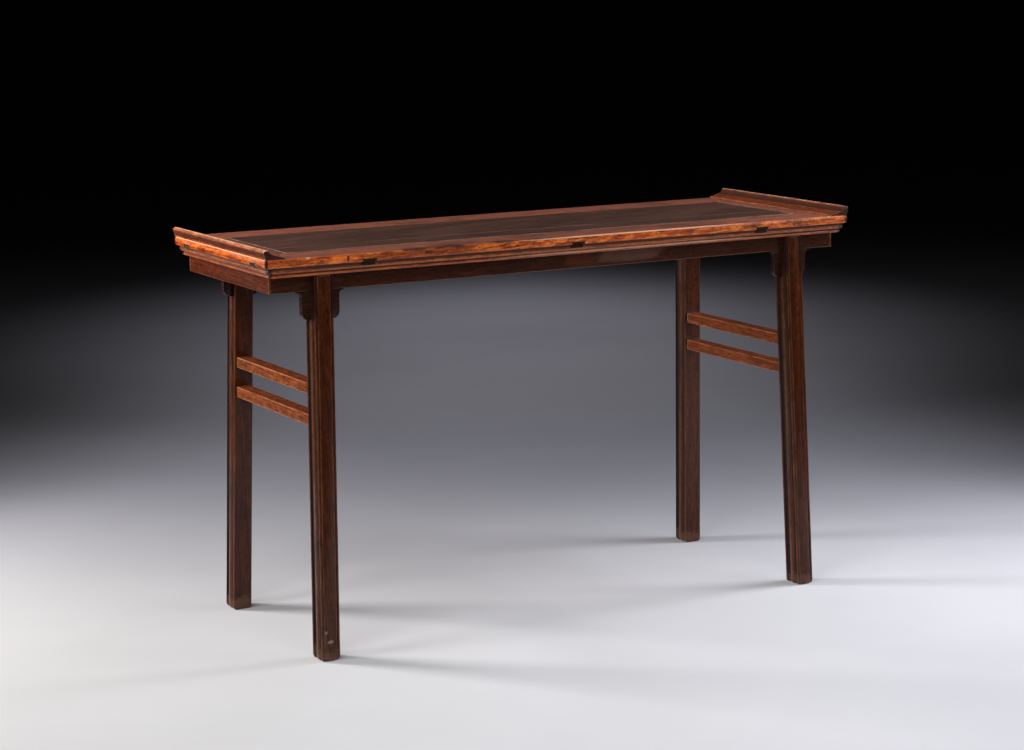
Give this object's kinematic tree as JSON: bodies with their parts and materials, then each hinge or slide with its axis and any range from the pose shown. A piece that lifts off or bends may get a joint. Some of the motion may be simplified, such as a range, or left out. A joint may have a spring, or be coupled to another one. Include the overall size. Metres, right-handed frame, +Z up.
{
  "type": "altar table",
  "caption": "Recessed-leg hardwood altar table: mitred frame top with everted end flanges, plain aprons with small spandrels, splayed moulded legs, paired end stretchers.",
  "frame": {"origin": "on the floor under the middle of the top", "axes": "+X along the table's length to the right, +Y from the front to the rear, +Z up"},
  "size_m": [1.427, 0.5268, 0.8605],
  "materials": {
    "frame_wood": "waxed reddish-brown hardwood with darker figure, arrises worn bright",
    "panel_wood": "dull dark-brown hardwood, rubbed",
    "flange_wood": "waxed reddish-brown hardwood, end grain nearly black",
    "apron_wood": "waxed dark-brown hardwood",
    "leg_wood": "waxed dark reddish-brown hardwood, beads worn lighter",
    "stretcher_wood": "waxed reddish-brown hardwood",
    "batten_wood": "plain dark hardwood, end grain nearly black"
  },
  "bodies": {
    "root": {"front_long_rail": "frame_wood", "rear_long_rail": "frame_wood", "left_end_rail": "frame_wood", "right_end_rail": "frame_wood", "front_panel_board": "panel_wood", "rear_panel_board": "panel_wood", "left_batten": "batten_wood", "middle_batten": "batten_wood", "right_batten": "batten_wood", "left_everted_flange": "flange_wood", "right_everted_flange": "flange_wood", "front_apron": "apron_wood", "rear_apron": "apron_wood", "left_end_apron": "apron_wood", "right_end_apron": "apron_wood", "front_left_spandrel": "apron_wood", "front_right_spandrel": "apron_wood", "rear_left_spandrel": "apron_wood", "rear_right_spandrel": "apron_wood", "front_left_leg": "leg_wood", "front_right_leg": "leg_wood", "rear_left_leg": "leg_wood", "rear_right_leg": "leg_wood", "left_upper_stretcher": "stretcher_wood", "left_lower_stretcher": "stretcher_wood", "right_upper_stretcher": "stretcher_wood", "right_lower_stretcher": "stretcher_wood"}
  },
  "joints": []
}
